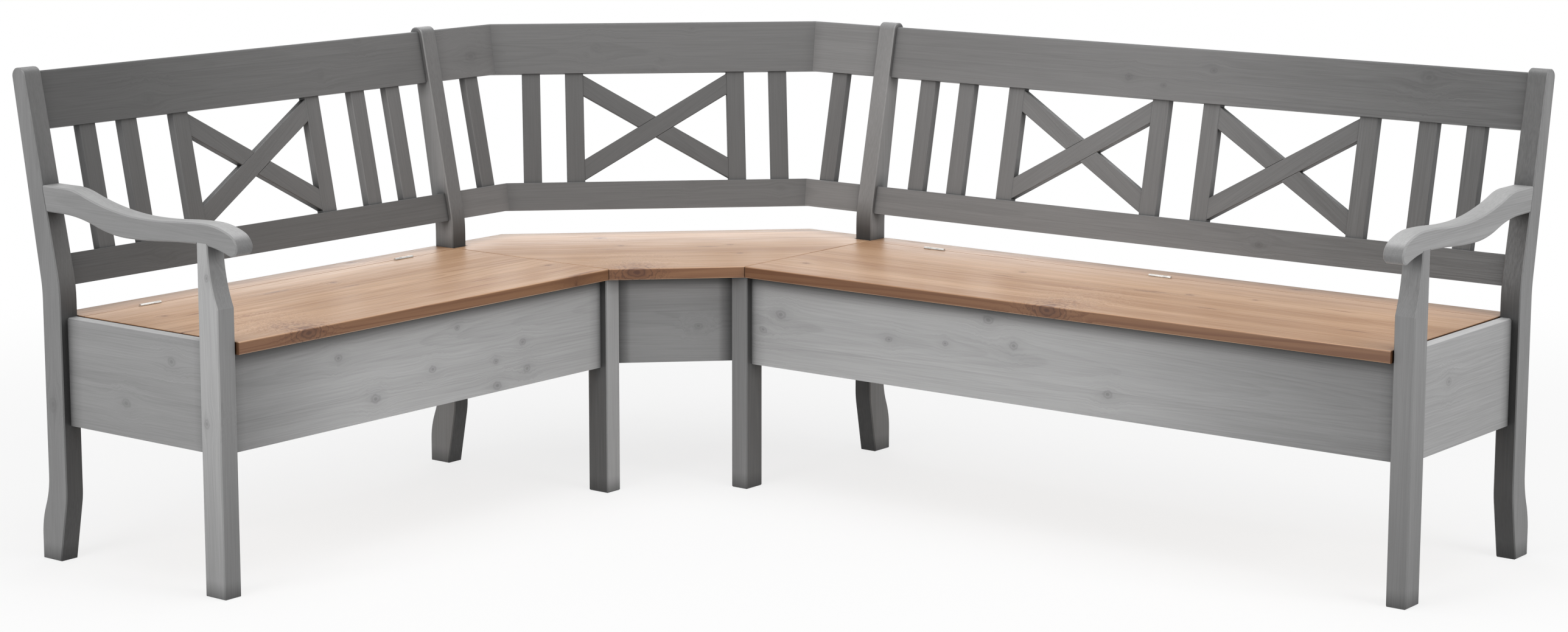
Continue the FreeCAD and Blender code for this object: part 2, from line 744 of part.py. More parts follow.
def infill(name, side, starts):
    # Upright slats or stiles, each from its housing in the lower rail to that in the top rail
    body = newBody(name, side.leaning())
    low = f"{windowLow} - slatHousing"
    high = f"{windowHigh} + slatHousing"
    outlines = [rectangle(start, low, f"{start} + slatWidth", high) for start in starts]
    extrude(body, side, "Pad", "XZ", outlines, *infillDepths())
    soften(body, "Chamfer", "slatChamfer", alongAxis(2))
    return keep(body)


crossDrop = f"({windowHigh} - {windowLow} - 2 * crossClearance)"
crossAngle = (
    f"(acos(crossWidth / sqrt({crossDrop} * {crossDrop} + crossBay * crossBay))"
    f" - atan(crossBay / {crossDrop}))"
)
crossCut = f"(crossWidth / cos({crossAngle}))"


def crossOutline(middle, rising):
    # A cross bar between two stiles, cut upright at both ends
    low = f"({windowLow} + crossClearance)"
    high = f"({windowHigh} - crossClearance)"
    first, last = (f"{middle} - crossBay / 2", f"{middle} + crossBay / 2")
    if not rising:
        first, last = last, first
    return [
        (first, low),
        (last, f"{high} - {crossCut}"),
        (last, high),
        (first, f"{low} + {crossCut}"),
    ]


def crossBars(name, side, middles, rising):
    # The bars of the crosses that rise, or fall, along the side. Where two bars meet, each gives
    # up half its thickness. Seen from the front, the one that rises to the right runs through in
    # front, and on a side of hand 1 that is the one that falls along the side.
    body = newBody(name, side.leaning())
    front = "(-1 * slatInset - crossInset)"
    half = f"({front} - crossThickness / 2)"
    back = f"({front} - crossThickness)"
    bars = [crossOutline(middle, rising) for middle in middles]
    others = [crossOutline(middle, not rising) for middle in middles]
    extrude(body, side, "Pad", "XZ", bars, back, front)
    upright = alongAxis(2)
    through = alongAxis(1)
    soften(body, "Chamfer", "slatChamfer", lambda edge: not upright(edge) and not through(edge))
    runsInFront = rising == (side.hand < 0)
    near, far = (back, half) if runsInFront else (half, front)
    extrude(body, side, "Pocket", "XZ", others, near, far)
    return keep(body)


def lowerAndTop(side, build, starts, prefix, suffix=""):
    # The two rails of one stretch of back, both housing the same slats
    lowerEdges = ("Chamfer", "slatChamfer", windowLow)
    topEdges = ("Fillet", "railEdgeRadius", railHigh)
    lower = build(f"{prefix}_lower_rail{suffix}", railLow, windowLow, lowerEdges)
    houseInfill(lower, side, f"{windowLow} - slatHousing - fitGap", windowLow, starts)
    top = build(f"{prefix}_top_rail{suffix}", windowHigh, railHigh, topEdges)
    houseInfill(top, side, windowHigh, f"{windowHigh} + slatHousing + fitGap", starts)
    keep(lower)
    keep(top)


def hingeMiddles(side):
    # Places of the hinges along a lid, spread evenly about its middle
    middle = f"(cornerLength + {side.length} - legWidth) / 2"
    count = round(size(side.hinges))
    return [f"({middle} + {number - (count - 1) / 2} * {side.spacing})" for number in range(count)]


def hingeSpan(middle, extra="0"):
    return f"{middle} - hingeLength / 2 - {extra}", f"{middle} + hingeLength / 2 + {extra}"


def knuckleRecess(body, side, near, far):
    # The recess that the knuckles turn in, at the top edge of a board
    outlines = []
    for middle in hingeMiddles(side):
        first, last = hingeSpan(middle, "hingeClearance")
        outlines.append(rectangle(first, near, last, far))
    low = f"{hingeHeight} - knuckleRadius - hingeClearance"
    extrude(body, side, "Pocket", "XY", outlines, low, "seatHeight")


def seatStrip(name, side):
    # The fixed strip behind a lid
    body = newBody(name, side.upright())
    us = ("cornerLength + seatGap / 2", f"{side.length} - legWidth - endGap")
    boxFeature(body, side, "Pad", (us, ("0", "stripDepth"), (lidUnder, "seatHeight")))
    soften(body, "Chamfer", "slatChamfer", atPlace(2, size("seatHeight")))
    knuckleRecess(body, side, f"{hingeDepth} - knuckleRadius - hingeClearance", "stripDepth")
    return keep(body)


def lid(name, side):
    body = newBody(name, side.upright())
    us = ("cornerLength + seatGap / 2", f"{side.length} - legWidth - endGap")
    vs = (lidBack, "benchDepth + seatOverhang")
    boxFeature(body, side, "Pad", (us, vs, (lidUnder, "seatHeight")))
    soften(body, "Chamfer", "slatChamfer", both(alongAxis(1), atPlace(2, size("seatHeight"))))
    front = both(alongAxis(0), atPlace(1, side.hand * size(vs[1])))
    soften(body, "Fillet", "seatRadius", front)
    knuckleRecess(body, side, lidBack, f"{hingeDepth} + knuckleRadius + hingeClearance")
    return keep(body)


def hingeLeaves(name, side, near, far, first):
    # The leaves on one edge of the seam, from near to far, with every second knuckle from first on
    body = newBody(name, side.upright())
    middles = hingeMiddles(side)
    for middle in middles:
        barrel = (hingeDepth, hingeHeight, "knuckleRadius")
        extrude(body, side, "Pad", "YZ", [barrel], *hingeSpan(middle))
    leafLow = f"{hingeHeight} - knuckleRadius - leafHeight"
    leafHigh = f"{hingeHeight} - (knuckleRadius + pinRadius) / 2"
    plates = []
    for middle in middles:
        start, end = hingeSpan(middle)
        plates.append(rectangle(start, leafLow, end, leafHigh))
    extrude(body, side, "Pad", "XZ", plates, near, far)
    gaps = []
    for middle in middles:
        start, end = hingeSpan(middle)
        for number in range(1 - first, round(size("hingeKnuckles")), 2):
            opening = f"{start} + {number} * hingeLength / hingeKnuckles - knuckleGap / 2"
            closing = f"{start} + {number + 1} * hingeLength / hingeKnuckles + knuckleGap / 2"
            low = f"{hingeHeight} - knuckleRadius - knuckleGap"
            high = f"{hingeHeight} + knuckleRadius + knuckleGap"
            gaps.append(rectangle(opening, low, closing, high))
    reach = "knuckleRadius + knuckleGap"
    extrude(body, side, "Pocket", "XZ", gaps, f"{hingeDepth} - ({reach})", f"{hingeDepth} + {reach}")
    bore = (hingeDepth, hingeHeight, "pinRadius + pinFit")
    ends = hingeSpan(middles[0])[0], hingeSpan(middles[-1])[1]
    extrude(body, side, "Pocket", "YZ", [bore], *ends)
    return keep(body)


def hingePins(name, side):
    body = newBody(name, side.upright())
    for middle in hingeMiddles(side):
        pin = (hingeDepth, hingeHeight, "pinRadius")
        extrude(body, side, "Pad", "YZ", [pin], *hingeSpan(middle))
    return body


def bottomPanel(name, side):
    # The chest's bottom, cut round the four legs
    body = newBody(name, side.upright())
    first = "cornerLength - legWidth / 2 + boardThickness / 2 + bottomGap"
    afterLeg = "cornerLength + bottomGap"
    beforeLeg = f"{side.length} - legWidth - bottomGap"
    last = f"{side.length} - boardInset - boardThickness - bottomGap"
    rear = f"{backBoardFront} + bottomGap"
    rearLeg = "legDepth + bottomGap"
    frontLeg = f"{frontLegBack} - bottomGap"
    front = f"{frontBoardBack} - bottomGap"
    outline = [
        (afterLeg, rear),
        (beforeLeg, rear),
        (beforeLeg, rearLeg),
        (last, rearLeg),
        (last, frontLeg),
        (beforeLeg, frontLeg),
        (beforeLeg, front),
        (afterLeg, front),
        (afterLeg, frontLeg),
        (first, frontLeg),
        (first, rearLeg),
        (afterLeg, rearLeg),
    ]
    low = f"{boardLow} + battenSize"
    extrude(body, side, "Pad", "XY", [outline], low, f"{low} + bottomThickness")
    return keep(body)


def bottomBattens(name, side):
    body = newBody(name, side.upright())
    us = ("cornerLength + bottomGap", f"{side.length} - legWidth - bottomGap")
    outlines = [
        rectangle(us[0], backBoardFront, us[1], f"{backBoardFront} + battenSize"),
        rectangle(us[0], f"{frontBoardBack} - battenSize", us[1], frontBoardBack),
    ]
    extrude(body, side, "Pad", "XY", outlines, boardLow, f"{boardLow} + battenSize")
    return keep(body)


def bench(prefix, side, slats, stiles, crosses):
    # One straight bench: frame, back, chest, lid and hinges
    outerRearPost(f"{prefix}_rear_post", side)
    outerFrontPost(f"{prefix}_front_post", side)
    armrest(f"{prefix}_armrest", side)
    panelTop = both(alongAxis(1), atPlace(2, size(endPanelTop)))
    outerFace = atPlace(0, size(f"{side.length} - boardInset"))
    rounded = [("Fillet", "endPanelRadius", both(panelTop, outerFace))]
    endPanel(side).build(f"{prefix}_end_panel", side, rounded)
    frontBoard(side).build(f"{prefix}_front_board", side, [])
    backBoard(side).build(f"{prefix}_back_board", side, [])
    lowerAndTop(
        side,
        lambda *details: straightRail(details[0], side, *details[1:]),
        slats + stiles,
        prefix,
    )
    infill(f"{prefix}_slats", side, slats)
    infill(f"{prefix}_stiles", side, stiles)
    crossBars(f"{prefix}_cross_rising", side, crosses, True)
    crossBars(f"{prefix}_cross_falling", side, crosses, False)
    seatStrip(f"{prefix}_seat_strip", side)
    lid(f"{prefix}_lid", side)
    bottomPanel(f"{prefix}_bottom", side)
    bottomBattens(f"{prefix}_bottom_battens", side)
    hingeLeaves(f"{prefix}_hinge_fixed_leaves", side, "stripDepth", "stripDepth + leafThickness", 0)
    hingeLeaves(f"{prefix}_hinge_lid_leaves", side, f"{lidBack} - leafThickness", lidBack, 1)


def mirrored(places, middle):
    # Slat starts given as distances from the middle of a back, for both of its halves
    starts = [f"{middle} + {place}" for place in places]
    return starts + [f"{middle} - {place} - slatWidth" for place in places]


def slatPair(side, stileEnd):
    # Starts of the two slats between the last stile and the post, from the middle of a back
    half = f"({side.length} - legWidth - cornerLength) / 2"
    free = f"({half} - {stileEnd} - 2 * slatWidth)"
    first = f"({stileEnd} + firstGapShare * {free})"
    return [first, f"({first} + slatWidth + secondGapShare * {free})"]


# Left bench: one cross in the middle, two slats at each side of it
left.hinges = "leftHinges"
left.spacing = "leftHingeSpacing"
leftMiddle = "(cornerLength + leftLength - legWidth) / 2"
leftSlats = mirrored(slatPair(left, "(crossBay / 2 + slatWidth)"), leftMiddle)
leftStiles = mirrored(["crossBay / 2"], leftMiddle)
bench("left", left, leftSlats, leftStiles, [leftMiddle])

# Right bench: two crosses, two slats outside each
right.hinges = "rightHinges"
right.spacing = "rightHingeSpacing"
rightMiddle = "(cornerLength + rightLength - legWidth) / 2"
innerStile = "(middleGap / 2)"
outerStile = f"({innerStile} + slatWidth + crossBay)"
rightSlats = mirrored(slatPair(right, f"({outerStile} + slatWidth)"), rightMiddle)
rightStiles = mirrored([innerStile, outerStile], rightMiddle)
crossOffset = f"({innerStile} + slatWidth + crossBay / 2)"
rightCrosses = [f"({rightMiddle} - {crossOffset})", f"({rightMiddle} + {crossOffset})"]
bench("right", right, rightSlats, rightStiles, rightCrosses)

# Corner part: posts and legs at the joint planes
for side, word in ((left, "left"), (right, "right")):
    cornerRearPost(f"corner_rear_post_{word}", side)
    cornerFrontLeg(f"corner_front_leg_{word}", side)
    partition().build(f"corner_partition_{word}", side, [])

# Corner back: a diagonal stretch with one cross, and a short stretch with one slat at each side
shortSlat = f"(cornerCut + shortGapShare * ({cornerStart} - cornerCut - slatWidth))"
for side, word in ((left, "left"), (right, "right")):
    lowerAndTop(
        side,
        lambda *details: cornerRail(details[0], side, *details[1:]),
        [shortSlat],
        "corner",
        f"_{word}",
    )
diagonalStile = "(crossBay / 2 + slatWidth)"
diagonalFree = f"({diagonalStart} - {diagonalStile} - slatWidth)"
diagonalSlats = mirrored([f"({diagonalStile} + diagonalGapShare * {diagonalFree})"], "0")
diagonalStiles = mirrored(["crossBay / 2"], "0")
lowerAndTop(diagonal, diagonalRail, diagonalSlats + diagonalStiles, "corner", "_diagonal")
infill("corner_slats_diagonal", diagonal, diagonalSlats)
infill("corner_slat_left", left, [shortSlat])
infill("corner_slat_right", right, [shortSlat])
infill("corner_stiles", diagonal, diagonalStiles)
crossBars("corner_cross_rising", diagonal, ["0"], True)
crossBars("corner_cross_falling", diagonal, ["0"], False)

# Corner back boards under the seat, mitred like the rails
for side, word in ((left, "left"), (right, "right")):
    board = newBody(f"corner_back_board_{word}", side.upright())
    ends = [f"cornerCut + {mitreSlope} * {depth}" for depth in ("boardInset", backBoardFront)]
    outline = [
        (ends[0], "boardInset"),
        (cornerStart, "boardInset"),
        (cornerStart, backBoardFront),
        (ends[1], backBoardFront),
    ]
    extrude(board, side, "Pad", "XY", [outline], boardLow, lidUnder)
    boxFeature(board, side, "Pad", cornerBackBoard().tenon("u+"))
    keep(board)
board = newBody("corner_back_board_diagonal", diagonal.upright())
ends = [f"({diagonalStart} - {mitreSlope} * {depth})" for depth in ("boardInset", backBoardFront)]
outline = [
    (f"-1 * {ends[0]}", "boardInset"),
    (ends[0], "boardInset"),
    (ends[1], backBoardFront),
    (f"-1 * {ends[1]}", backBoardFront),
]
extrude(board, diagonal, "Pad", "XY", [outline], boardLow, lidUnder)
keep(board)

# Diagonal apron between the two corner front legs, its ends cut to lie on their faces
apron = newBody("corner_apron", diagonal.upright())
apronFace = f"((benchDepth - apronInset + {cornerStart}) / sqrt(2) - {diagonalStart})"
apronBack = f"({apronFace} - boardThickness)"
ends = [f"({cornerStart} * sqrt(2) - {diagonalStart} - {depth})" for depth in (apronBack, apronFace)]
outline = [
    (f"-1 * {ends[0]}", apronBack),
    (ends[0], apronBack),
    (ends[1], apronFace),
    (f"-1 * {ends[1]}", apronFace),
]
extrude(apron, diagonal, "Pad", "XY", [outline], boardLow, lidUnder)
keep(apron)

# Corner seat, one board cut round the two corner rear posts
seat = newBody("corner_seat", right.upright())
seatEnd = "(cornerLength - seatGap / 2)"
seatFront = "(benchDepth + seatOverhang)"
besidePost = f"({cornerStart} - postGap)"
beforePost = "(legDepth + postGap)"
half = [
    (seatFront, seatEnd),
    (seatEnd, seatFront),
    (seatEnd, beforePost),
    (besidePost, beforePost),
    (besidePost, "0"),
    ("cornerCut", "0"),
]
otherHalf = [(depth, along) for along, depth in reversed(half[2:])]
extrude(seat, right, "Pad", "XY", [half + otherHalf], lidUnder, "seatHeight")
diagonalEdge = size(f"{seatFront} + {seatEnd}")


def seatEdges(edge):
    # All top edges, and the lower edge of the diagonal front
    if atPlace(2, size("seatHeight"))(edge):
        return True
    return all(abs(vertex.Point.x - vertex.Point.y - diagonalEdge) < 0.01 for vertex in edge.Vertexes)


soften(seat, "Fillet", "seatRadius", seatEdges)
keep(seat)

# Hinge pins of both lids
pins = doc.addObject("Part::Compound", "hinge_pins")
pins.Label = "hinge_pins"
pins.Links = [hingePins("left_hinge_pins", left), hingePins("right_hinge_pins", right)]
keep(pins)

doc.recompute()
failed = [item.Name for item in doc.Objects if {"Invalid", "Error"} & set(item.State)]
wrong = [item.Label for item in kept if item.Shape.isNull() or not item.Shape.isValid()]
if failed or wrong:
    raise RuntimeError("failed objects: %s, wrong shapes: %s" % (failed, wrong))
for item in kept:
    item.Shape.exportStep("parts/%s.step" % item.Label)
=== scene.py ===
import bmesh
import bpy
import math
from mathutils import Matrix, Vector


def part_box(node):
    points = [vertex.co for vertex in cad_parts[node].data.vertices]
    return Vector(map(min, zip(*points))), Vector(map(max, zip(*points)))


# Corner storage bench: grey stained pine frame, warm pine seat, nickel hinges
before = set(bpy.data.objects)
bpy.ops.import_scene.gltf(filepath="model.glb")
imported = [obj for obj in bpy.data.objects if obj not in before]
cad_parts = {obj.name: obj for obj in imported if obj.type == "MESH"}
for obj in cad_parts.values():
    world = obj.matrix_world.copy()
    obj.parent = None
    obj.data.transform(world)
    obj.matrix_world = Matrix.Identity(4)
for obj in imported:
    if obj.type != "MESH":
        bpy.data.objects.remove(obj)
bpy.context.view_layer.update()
scene = bpy.context.scene
scene.view_settings.view_transform = "Standard"


# Camera, in front of the inner corner and a little above the back
cameraSettings = {
    "place": (3.6228, -4.6675, 1.5331),
    "turn": (80.906, -0.18, 37.274),
    "lens": 74.315,
    "shift": (-0.0225, -0.0464),
    "sensor": 36,
}


def addCamera():
    lens = bpy.data.cameras.new("viewCamera")
    lens.sensor_width = cameraSettings["sensor"]
    lens.sensor_fit = "HORIZONTAL"
    lens.lens = cameraSettings["lens"]
    lens.shift_x, lens.shift_y = cameraSettings["shift"]
    camera = bpy.data.objects.new("viewCamera", lens)
    camera.location = cameraSettings["place"]
    camera.rotation_euler = [math.radians(angle) for angle in cameraSettings["turn"]]
    scene.collection.objects.link(camera)
    scene.camera = camera


addCamera()
print("camera placed")


# Node helpers: a value is a number, a colour or another node's socket
def feed(tree, socket, value):
    if isinstance(value, bpy.types.NodeSocket):
        tree.links.new(value, socket)
    else:
        socket.default_value = value


def calc(tree, operation, *values):
    node = tree.nodes.new("ShaderNodeMath")
    node.operation = operation
    for socket, value in zip(node.inputs, values):
        feed(tree, socket, value)
    return node.outputs[0]


def vectorCalc(tree, operation, *values):
    node = tree.nodes.new("ShaderNodeVectorMath")
    node.operation = operation
    for socket, value in zip(node.inputs, values):
        feed(tree, socket, value)
    return node.outputs[1] if operation in ("LENGTH", "DOT_PRODUCT") else node.outputs[0]


def ease(tree, value, low, high, lowResult=0.0, highResult=1.0):
    # Soft step of a value from low to high
    node = tree.nodes.new("ShaderNodeMapRange")
    node.interpolation_type = "SMOOTHSTEP"
    for socket, number in zip(node.inputs, (value, low, high, lowResult, highResult)):
        feed(tree, socket, number)
    return node.outputs[0]


def noise(tree, vector, scale, detail=2.0, output="Fac"):
    node = tree.nodes.new("ShaderNodeTexNoise")
    feed(tree, node.inputs["Vector"], vector)
    feed(tree, node.inputs["Scale"], scale)
    feed(tree, node.inputs["Detail"], detail)
    return node.outputs[output]


def blend(tree, amount, first, second, kind="MIX"):
    node = tree.nodes.new("ShaderNodeMix")
    node.data_type = "RGBA"
    node.blend_type = kind
    factor, firstColour, secondColour = node.inputs[0], node.inputs[6], node.inputs[7]
    for socket, value in ((factor, amount), (firstColour, first), (secondColour, second)):
        feed(tree, socket, value)
    return node.outputs[2]


def startGroup(name, inputs, outputs):
    group = bpy.data.node_groups.new(name, "ShaderNodeTree")
    for title, (kind, value) in inputs.items():
        socket = group.interface.new_socket(title, in_out="INPUT", socket_type="NodeSocket" + kind)
        if value is not None:
            socket.default_value = value
    for title, kind in outputs.items():
        group.interface.new_socket(title, in_out="OUTPUT", socket_type="NodeSocket" + kind)
    given = group.nodes.new("NodeGroupInput").outputs
    made = group.nodes.new("NodeGroupOutput").inputs
    return group, given, made


def place(tree, group, values):
    node = tree.nodes.new("ShaderNodeGroup")
    node.node_tree = group
    for title, value in values.items():
        feed(tree, node.inputs[title], value)
    return node.outputs


# Wood coordinates: X along the grain, Y across the face, Z through the piece, in metres
figureShape = {
    "sway": (0.9, 6.0, 6.0),
    "rings": (0.02, 1.0, 1.0),
    "fibres": (9.0, 420.0, 420.0),
    "drift": (1.1, 21.0, 21.0),
    "streaks": (8.0, 230.0, 60.0),
    "crowds": (3.0, 9.0, 9.0),
    "unevenPace": 0.35,
    "unevenYears": 2.4,
}


def makeFigureGroup():
    # Growth rings round a pith that lies beside the piece, with fibres and slow changes of tone
    inputs = {
        "Vector": ("Vector", None),
        "Pith": ("Vector", (0.0, 0.0, -0.05)),
        "Ring Spacing": ("Float", 0.004),
        "Wander": ("Float", 0.012),
    }
    outputs = {"Rings": "Float", "Fibre": "Float", "Drift": "Float", "Streak": "Float"}
    group, given, made = startGroup("pineFigure", inputs, outputs)
    slow = vectorCalc(group, "MULTIPLY", given["Vector"], figureShape["sway"])
    sway = vectorCalc(group, "SUBTRACT", noise(group, slow, 1.0, 2.0, "Color"), (0.5, 0.5, 0.5))
    swayed = vectorCalc(group, "SCALE", sway)
    feed(group, swayed.node.inputs["Scale"], given["Wander"])
    moved = vectorCalc(group, "ADD", vectorCalc(group, "SUBTRACT", given["Vector"], given["Pith"]), swayed)
    flat = vectorCalc(group, "MULTIPLY", moved, figureShape["rings"])
    reach = vectorCalc(group, "LENGTH", flat)
    years = calc(group, "DIVIDE", reach, given["Ring Spacing"])
    uneven = noise(group, (0, 0, 0), 1.0)
    uneven.node.noise_dimensions = "1D"
    feed(group, uneven.node.inputs["W"], calc(group, "MULTIPLY", years, figureShape["unevenPace"]))
    years = calc(group, "ADD", years, calc(group, "MULTIPLY", uneven, figureShape["unevenYears"]))
    season = calc(group, "FRACT", years)
    late = calc(group, "MULTIPLY", ease(group, season, 0.3, 0.9), ease(group, season, 1.0, 0.92))
    feed(group, made["Rings"], calc(group, "MULTIPLY", late, ease(group, uneven, 0.3, 0.65, 0.35, 1.0)))
    fine = vectorCalc(group, "MULTIPLY", given["Vector"], figureShape["fibres"])
    feed(group, made["Fibre"], noise(group, fine, 1.0, 3.0))
    broad = vectorCalc(group, "MULTIPLY", given["Vector"], figureShape["drift"])
    feed(group, made["Drift"], noise(group, broad, 1.0, 4.0))
    short = vectorCalc(group, "MULTIPLY", moved, figureShape["streaks"])
    crowds = vectorCalc(group, "MULTIPLY", given["Vector"], figureShape["crowds"])
    crowd = noise(group, crowds, 1.0, 1.0)
    marks = ease(group, noise(group, short, 1.0, 1.0), 0.66, 0.76)
    feed(group, made["Streak"], calc(group, "MULTIPLY", marks, ease(group, crowd, 0.42, 0.6)))
    return group


staveShape = {
    "seedShift": 0.317,
    "seedChance": 7.13,
    "offset": (9.0, 0.07, 0.02),
    "seam": (0.0009, 0.0002),
}


def makeStaveGroup():
    # Edge-glued staves: each gets its own cut of the log and its own tone
    inputs = {"Vector": ("Vector", None), "Width": ("Float", 0.1), "Seed": ("Float", 0.0)}
    outputs = {"Offset": "Vector", "Tone": "Float", "Seam": "Float"}
    group, given, made = startGroup("gluedStaves", inputs, outputs)
    parts = group.nodes.new("ShaderNodeSeparateXYZ")
    feed(group, parts.inputs[0], given["Vector"])
    shift = calc(group, "MULTIPLY", given["Seed"], staveShape["seedShift"])
    count = calc(group, "ADD", calc(group, "DIVIDE", parts.outputs[1], given["Width"]), shift)
    chance = group.nodes.new("ShaderNodeTexWhiteNoise")
    chance.noise_dimensions = "1D"
    draw = calc(group, "MULTIPLY", given["Seed"], staveShape["seedChance"])
    feed(group, chance.inputs["W"], calc(group, "ADD", calc(group, "FLOOR", count), draw))
    spread = vectorCalc(group, "SUBTRACT", chance.outputs["Color"], (0.5, 0.5, 0.5))
    feed(group, made["Offset"], vectorCalc(group, "MULTIPLY", spread, staveShape["offset"]))
    feed(group, made["Tone"], chance.outputs["Value"])
    side = calc(group, "MULTIPLY", calc(group, "PINGPONG", count, 0.5), given["Width"])
    feed(group, made["Seam"], ease(group, side, *staveShape["seam"]))
    return group


# Eases run over the distance from the centre as a share of the knot's radius
knotShape = {
    "roughScale": 90.0,
    "rough": (0.9, 0.55),
    "bend": (0.0, -0.85, -0.85),
    "bendFall": -0.14,
    "waves": 11.0,
    "disc": (1.3, 0.6),
    "discTone": (0.12, 0.6),
    "eye": (0.55, 0.2),
    "haloFall": -0.3,
    "haloTone": 0.25,
    "lines": (0.2, 0.95),
    "linesFall": -0.16,
}


def makeKnotGroup():
    # One knot: a dark disc with rings of its own, and the grain flowing round it
    inputs = {
        "Vector": ("Vector", None),
        "Dark": ("Float", 0.0),
        "Centre": ("Vector", (0.0, 0.0, 0.0)),
        "Radius": ("Float", 0.01),
        "Spread": ("Vector", (0.7, 1.0, 0.0)),
        "Swirl": ("Float", 0.0),
    }
    group, given, made = startGroup("pineKnot", inputs, {"Vector": "Vector", "Dark": "Float"})
    away = vectorCalc(group, "SUBTRACT", given["Vector"], given["Centre"])
    flat = vectorCalc(group, "MULTIPLY", away, given["Spread"])
    uneven = noise(group, given["Vector"], knotShape["roughScale"], 2.0)
    rough = calc(group, "MULTIPLY_ADD", uneven, *knotShape["rough"])
    reach = calc(group, "MULTIPLY", vectorCalc(group, "LENGTH", flat), rough)
    ratio = calc(group, "DIVIDE", reach, given["Radius"])
    square = calc(group, "MULTIPLY", ratio, ratio)
    pull = calc(group, "EXPONENT", calc(group, "MULTIPLY", square, knotShape["bendFall"]))
    push = vectorCalc(group, "SCALE", vectorCalc(group, "MULTIPLY", away, knotShape["bend"]))
    feed(group, push.node.inputs["Scale"], pull)
    feed(group, made["Vector"], vectorCalc(group, "ADD", given["Vector"], push))
    waves = calc(group, "SINE", calc(group, "MULTIPLY", ratio, knotShape["waves"]))
    discTone = calc(group, "MULTIPLY_ADD", waves, *knotShape["discTone"])
    disc = calc(group, "MULTIPLY", ease(group, ratio, *knotShape["disc"]), discTone)
    eye = ease(group, ratio, *knotShape["eye"])
    halo = calc(group, "EXPONENT", calc(group, "MULTIPLY", square, knotShape["haloFall"]))
    halo = calc(group, "MULTIPLY", halo, knotShape["haloTone"])
    fading = calc(group, "EXPONENT", calc(group, "MULTIPLY", square, knotShape["linesFall"]))
    lines = calc(group, "MULTIPLY", ease(group, waves, *knotShape["lines"]), fading)
    dark = calc(group, "MAXIMUM", given["Dark"], calc(group, "MULTIPLY", lines, given["Swirl"]))
    for part in (disc, eye, halo):
        dark = calc(group, "MAXIMUM", dark, part)
    feed(group, made["Dark"], dark)
    return group


def makeJointShadeGroup():
    # Painted shade in joints, corners and recesses, from ambient occlusion: 1 on open faces, less in a corner
    inputs = {"Reach": ("Float", 0.02), "Power": ("Float", 1.0)}
    group, given, made = startGroup("jointShade", inputs, {"Shade": "Float"})
    near = group.nodes.new("ShaderNodeAmbientOcclusion")
    near.samples = 8
    feed(group, near.inputs["Distance"], given["Reach"])
    feed(group, made["Shade"], calc(group, "POWER", near.outputs["AO"], given["Power"]))
    return group


groups = {
    "figure": makeFigureGroup(),
    "staves": makeStaveGroup(),
    "knot": makeKnotGroup(),
    "shade": makeJointShadeGroup(),
}
print("wood groups made")


# Directions of the bench: along each side, and forward from its back
up = Vector((0, 0, 1))
sides = {
    "left": {"along": Vector((0, -1, 0)), "forward": Vector((1, 0, 0)), "end": -0.88},
    "right": {"along": Vector((1, 0, 0)), "forward": Vector((0, -1, 0)), "end": -1.1},
    "diagonal": {"along": Vector((1, 1, 0)).normalized(), "forward": Vector((1, -1, 0)).normalized()},
}
backSlope = 0.205
barRise = 0.742


def shadeTowardsEnd(side, tone, start=-0.1):
    # Painted shade: the wood is darker towards the outer end of a bench, where the light falls off
    return {"tone": tone, "along": -side["along"], "reach": (side["end"], start)}


def leanedUp(side):
    return (up - side["forward"] * backSlope).normalized()


# How a kind of finish looks: its knots and streaks, the strength of each part of its figure,
# its roughness and bump, and the reach and power of the painted shade in its joints and corners
stains = {
    "grey": {
        "knot": (0.085, 0.085, 0.085, 1),
        "streak": (0.10, 0.10, 0.10, 1),
        "streaks": 0.12,
        "rings": 0.20,
        "fibre": 0.75,
        "drift": 1.1,
        "staveTone": 0.22,
        "roughness": (0.46, 0.62),
        "seam": 0.10,
        "shade": (0.035, 1.5),
        "bump": 0.10,
    },
    "seat": {
        "knot": (0.105, 0.035, 0.022, 1),
        "streak": (0.21, 0.075, 0.04, 1),
        "streaks": 0.8,
        "rings": 0.6,
        "fibre": 0.7,
        "drift": 1.7,
        "staveTone": 0.4,
        "roughness": (0.36, 0.5),
        "seam": 0.12,
        "shade": (0.02, 1.0),
        "bump": 0.06,
    },
    "chest": {
        "knot": (0.25, 0.11, 0.05, 1),
        "streak": (0.4, 0.22, 0.12, 1),
        "streaks": 0.3,
        "rings": 0.5,
        "fibre": 0.6,
        "drift": 1.1,
        "staveTone": 0.4,
        "roughness": (0.6, 0.75),
        "seam": 0.1,
        "shade": (0.03, 1.0),
        "bump": 0.1,
    },
}


# Kinds of knots: how far they reach along, across and through the piece, and their swirls
knotKinds = (
    ("knots", (0.7, 1.0, 0.0), 0.0),
    ("streaks", (0.16, 1.3, 0.0), 0.0),
    ("edgeKnots", (0.55, 0.35, 1.0), 1.0),
)


# What all the wood shares; the turns are how squarely a face has to look one way
woodShape = {
    "ringSpacing": 0.003,
    "middleDepth": 0.42,
    "knotDepth": 0.6,
    "facingTurn": (0.5, 0.9),
    "levelTurn": (0.25, 0.85),
    "fibreRange": (0.25, 0.75),
    "bumpHeight": 0.001,
    "ringBump": 0.5,
}
# The pith lies behind a piece, at a place that changes with the seed
pithShape = {"sidePeriod": 1.7, "backPeriod": 1.1, "stretch": 0.03, "side": -0.025, "back": -0.045}


def pithPlace(seed):
    aside = seed % pithShape["sidePeriod"] * pithShape["stretch"] + pithShape["side"]
    behind = pithShape["back"] - seed % pithShape["backPeriod"] * pithShape["stretch"]
    return Vector((0, aside, behind))


